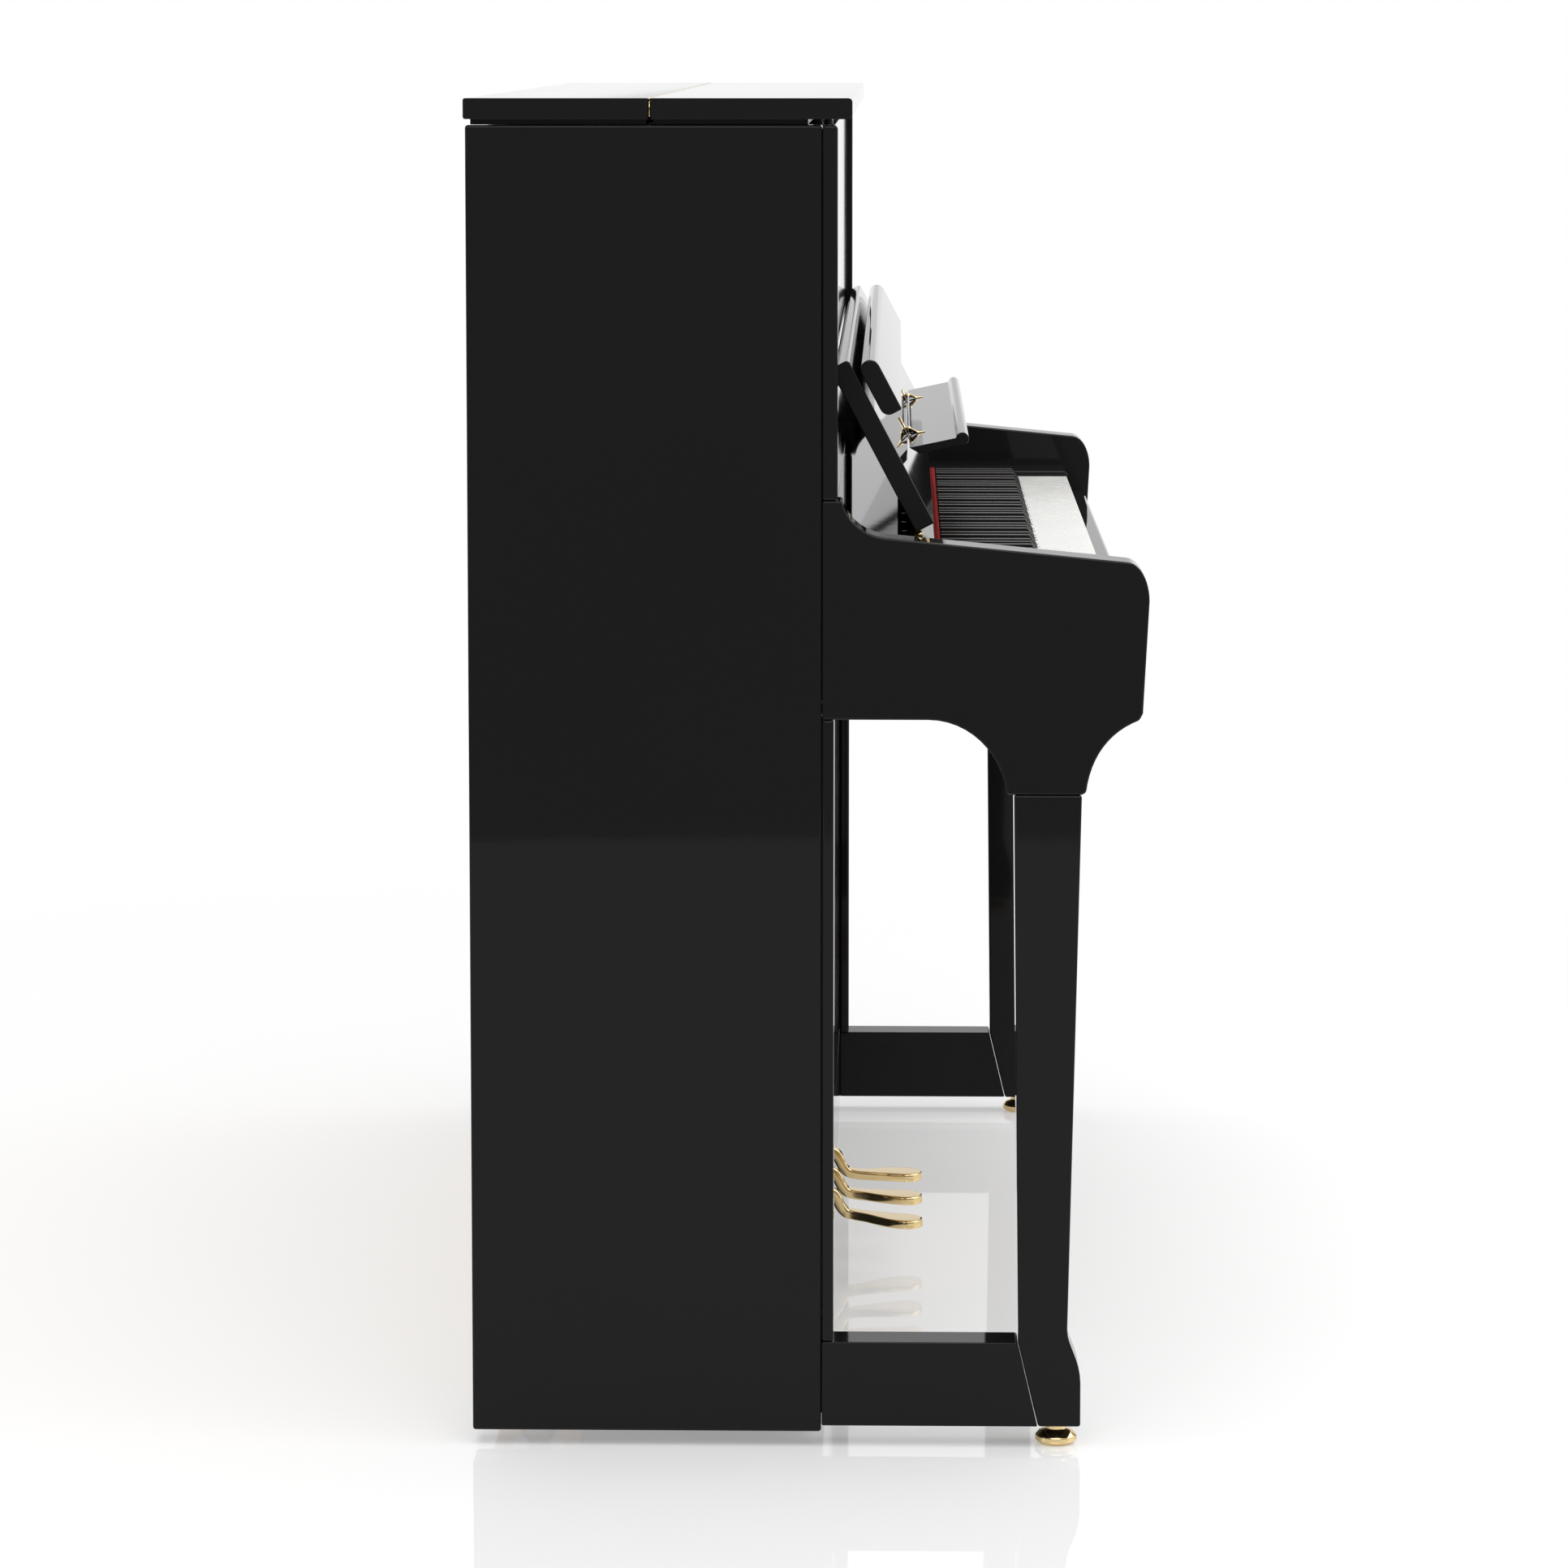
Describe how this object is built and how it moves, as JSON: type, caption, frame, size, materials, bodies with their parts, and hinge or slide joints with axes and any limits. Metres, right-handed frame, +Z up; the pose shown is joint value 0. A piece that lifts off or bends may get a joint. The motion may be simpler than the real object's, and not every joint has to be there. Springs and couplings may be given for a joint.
{
  "type": "upright piano",
  "caption": "Upright piano with a hinged lid, folding fallboard and music shelf, sprung keyboard and pedals, felt hammers, damper and strung iron plate behind panels.",
  "frame": {"origin": "on the floor, at the middle of the footprint", "axes": "+Z up, the player sits on the -Y side, +X towards the treble end"},
  "size_m": [1.5, 0.591, 1.1812],
  "materials": {
    "black_polyester": "piano black, polished polyester lacquer on board",
    "polished_brass": "polished",
    "key_white": "satin white key covering",
    "key_black": "fine-grained black",
    "maple": "sealed board",
    "spruce": "clear satin lacquer",
    "hammer_wood": "bare wood with pressed wool felt",
    "felt": "pressed wool felt",
    "bronzed_iron": "bronze paint",
    "string_steel": "plain",
    "caster_tread": "matt"
  },
  "bodies": {
    "case": {"action_frame": "string_steel", "arm_left": "black_polyester", "arm_right": "black_polyester", "back_frame": "spruce", "bottom_board": "black_polyester", "caster_fork_left": "string_steel", "caster_fork_right": "string_steel", "fallboard_hinge": "polished_brass", "fallboard_rail": "black_polyester", "front_foot_left": "polished_brass", "front_foot_right": "polished_brass", "key_block_left": "black_polyester", "key_block_right": "black_polyester", "key_slip": "black_polyester", "keybed": "maple", "leg_left": "black_polyester", "leg_right": "black_polyester", "lid_hinge": "polished_brass", "lid_rear": "black_polyester", "lower_panel": "black_polyester", "lower_stile_left": "black_polyester", "lower_stile_right": "black_polyester", "plate": "bronzed_iron", "side_panel_left": "black_polyester", "side_panel_right": "black_polyester", "soundboard": "spruce", "strings_bass": "string_steel", "strings_treble": "string_steel", "toe_block_left": "black_polyester", "toe_block_right": "black_polyester", "upper_panel": "black_polyester", "upper_stile_left": "black_polyester", "upper_stile_right": "black_polyester"},
    "fallboard": {"fallboard": "black_polyester", "shelf_hinge": "polished_brass"},
    "lid_front": {"lid_front": "black_polyester"},
    "fallboard_flap": {"fallboard_flap": "black_polyester"},
    "music_shelf": {"music_shelf": "black_polyester"},
    "pedal_left": {"pedal_left": "polished_brass"},
    "pedal_middle": {"pedal_middle": "polished_brass"},
    "pedal_right": {"pedal_right": "polished_brass"},
    "hammers": {"hammers": "hammer_wood"},
    "dampers": {"dampers": "hammer_wood"},
    "muffler_rail": {"muffler_rail": "felt"},
    "rear_wheel_left": {"rear_wheel_left": "caster_tread"},
    "rear_wheel_right": {"rear_wheel_right": "caster_tread"},
    "keys_bass": {"keys_bass": "key_white"},
    "keys_treble": {"keys_treble": "key_white"},
    "key_C4": {"key_C4": "key_white"},
    "key_Cs4": {"key_Cs4": "key_black"},
    "key_D4": {"key_D4": "key_white"},
    "key_Ds4": {"key_Ds4": "key_black"},
    "key_E4": {"key_E4": "key_white"},
    "key_F4": {"key_F4": "key_white"},
    "key_Fs4": {"key_Fs4": "key_black"},
    "key_G4": {"key_G4": "key_white"},
    "key_Gs4": {"key_Gs4": "key_black"},
    "key_A4": {"key_A4": "key_white"},
    "key_As4": {"key_As4": "key_black"},
    "key_B4": {"key_B4": "key_white"}
  },
  "joints": [
    {"name": "lid_hinge_joint", "type": "hinge", "parent": "case", "child": "lid_front", "pos_m": [0, 0.1355, 1.1802], "axis": [-1, 0, 0], "range_deg": [0, 178]},
    {"name": "fallboard_joint", "type": "hinge", "parent": "case", "child": "fallboard", "pos_m": [0, -0.0978, 0.8], "axis": [1, 0, 0], "range_deg": [0, 122]},
    {"name": "flap_joint", "type": "hinge", "parent": "fallboard", "child": "fallboard_flap", "pos_m": [0, -0.03968, 0.94813], "axis": [-1, 0, 0], "range_deg": [0, 126]},
    {"name": "music_shelf_joint", "type": "hinge", "parent": "fallboard", "child": "music_shelf", "pos_m": [0, -0.08838, 0.8585], "axis": [-1, 0, 0], "range_deg": [0, 106]},
    {"name": "pedal_left_joint", "type": "hinge", "parent": "case", "child": "pedal_left", "pos_m": [-0.095, 0.0955, 0.0845], "axis": [1, 0, 0], "range_deg": [0, 6], "stiffness_Nm_per_rad": 12, "springref_deg": -6.88},
    {"name": "pedal_middle_joint", "type": "hinge", "parent": "case", "child": "pedal_middle", "pos_m": [0, 0.0955, 0.0845], "axis": [1, 0, 0], "range_deg": [0, 6], "stiffness_Nm_per_rad": 12, "springref_deg": -6.88},
    {"name": "pedal_right_joint", "type": "hinge", "parent": "case", "child": "pedal_right", "pos_m": [0.095, 0.0955, 0.0845], "axis": [1, 0, 0], "range_deg": [0, 6], "stiffness_Nm_per_rad": 12, "springref_deg": -6.88},
    {"name": "hammer_rail_joint", "type": "hinge", "parent": "case", "child": "hammers", "pos_m": [0, 0.0775, 0.878], "axis": [-1, 0, 0], "range_deg": [0, 9]},
    {"name": "damper_joint", "type": "hinge", "parent": "case", "child": "dampers", "pos_m": [0, 0.1235, 0.851], "axis": [1, 0, 0], "range_deg": [0, 4]},
    {"name": "muffler_slide", "type": "slide", "parent": "case", "child": "muffler_rail", "axis": [0, 0, -1], "range_m": [0, 0.025]},
    {"name": "keys_bass_joint", "type": "hinge", "parent": "case", "child": "keys_bass", "pos_m": [0, -0.0465, 0.717], "axis": [1, 0, 0], "range_deg": [0, 2.6], "stiffness_Nm_per_rad": 80, "springref_deg": -3.44},
    {"name": "key_C4_joint", "type": "hinge", "parent": "case", "child": "key_C4", "pos_m": [0, -0.0465, 0.717], "axis": [1, 0, 0], "range_deg": [0, 2.6], "stiffness_Nm_per_rad": 2, "springref_deg": -5.16},
    {"name": "key_Cs4_joint", "type": "hinge", "parent": "case", "child": "key_Cs4", "pos_m": [0, -0.0465, 0.717], "axis": [1, 0, 0], "range_deg": [0, 2.6], "stiffness_Nm_per_rad": 2, "springref_deg": -5.16},
    {"name": "key_D4_joint", "type": "hinge", "parent": "case", "child": "key_D4", "pos_m": [0, -0.0465, 0.717], "axis": [1, 0, 0], "range_deg": [0, 2.6], "stiffness_Nm_per_rad": 2, "springref_deg": -5.16},
    {"name": "key_Ds4_joint", "type": "hinge", "parent": "case", "child": "key_Ds4", "pos_m": [0, -0.0465, 0.717], "axis": [1, 0, 0], "range_deg": [0, 2.6], "stiffness_Nm_per_rad": 2, "springref_deg": -5.16},
    {"name": "key_E4_joint", "type": "hinge", "parent": "case", "child": "key_E4", "pos_m": [0, -0.0465, 0.717], "axis": [1, 0, 0], "range_deg": [0, 2.6], "stiffness_Nm_per_rad": 2, "springref_deg": -5.16},
    {"name": "key_F4_joint", "type": "hinge", "parent": "case", "child": "key_F4", "pos_m": [0, -0.0465, 0.717], "axis": [1, 0, 0], "range_deg": [0, 2.6], "stiffness_Nm_per_rad": 2, "springref_deg": -5.16},
    {"name": "key_Fs4_joint", "type": "hinge", "parent": "case", "child": "key_Fs4", "pos_m": [0, -0.0465, 0.717], "axis": [1, 0, 0], "range_deg": [0, 2.6], "stiffness_Nm_per_rad": 2, "springref_deg": -5.16},
    {"name": "key_G4_joint", "type": "hinge", "parent": "case", "child": "key_G4", "pos_m": [0, -0.0465, 0.717], "axis": [1, 0, 0], "range_deg": [0, 2.6], "stiffness_Nm_per_rad": 2, "springref_deg": -5.16},
    {"name": "key_Gs4_joint", "type": "hinge", "parent": "case", "child": "key_Gs4", "pos_m": [0, -0.0465, 0.717], "axis": [1, 0, 0], "range_deg": [0, 2.6], "stiffness_Nm_per_rad": 2, "springref_deg": -5.16},
    {"name": "key_A4_joint", "type": "hinge", "parent": "case", "child": "key_A4", "pos_m": [0, -0.0465, 0.717], "axis": [1, 0, 0], "range_deg": [0, 2.6], "stiffness_Nm_per_rad": 2, "springref_deg": -5.16},
    {"name": "key_As4_joint", "type": "hinge", "parent": "case", "child": "key_As4", "pos_m": [0, -0.0465, 0.717], "axis": [1, 0, 0], "range_deg": [0, 2.6], "stiffness_Nm_per_rad": 2, "springref_deg": -5.16},
    {"name": "key_B4_joint", "type": "hinge", "parent": "case", "child": "key_B4", "pos_m": [0, -0.0465, 0.717], "axis": [1, 0, 0], "range_deg": [0, 2.6], "stiffness_Nm_per_rad": 2, "springref_deg": -5.16},
    {"name": "keys_treble_joint", "type": "hinge", "parent": "case", "child": "keys_treble", "pos_m": [0, -0.0465, 0.717], "axis": [1, 0, 0], "range_deg": [0, 2.6], "stiffness_Nm_per_rad": 80, "springref_deg": -3.44},
    {"name": "rear_wheel_left_joint", "type": "hinge", "parent": "case", "child": "rear_wheel_left", "pos_m": [-0.6, 0.2455, 0.018], "axis": [1, 0, 0], "continuous": true},
    {"name": "rear_wheel_right_joint", "type": "hinge", "parent": "case", "child": "rear_wheel_right", "pos_m": [0.6, 0.2455, 0.018], "axis": [1, 0, 0], "continuous": true}
  ],
  "couplings": [
    {"joint": "flap_joint", "follows": "fallboard_joint", "ratio": 1.032},
    {"joint": "music_shelf_joint", "follows": "fallboard_joint", "ratio": 0.868},
    {"joint": "hammer_rail_joint", "follows": "pedal_left_joint", "ratio": 1.5},
    {"joint": "damper_joint", "follows": "pedal_right_joint", "ratio": 0.666},
    {"joint": "muffler_slide", "follows": "pedal_middle_joint", "m_per_rad": 0.235}
  ]
}
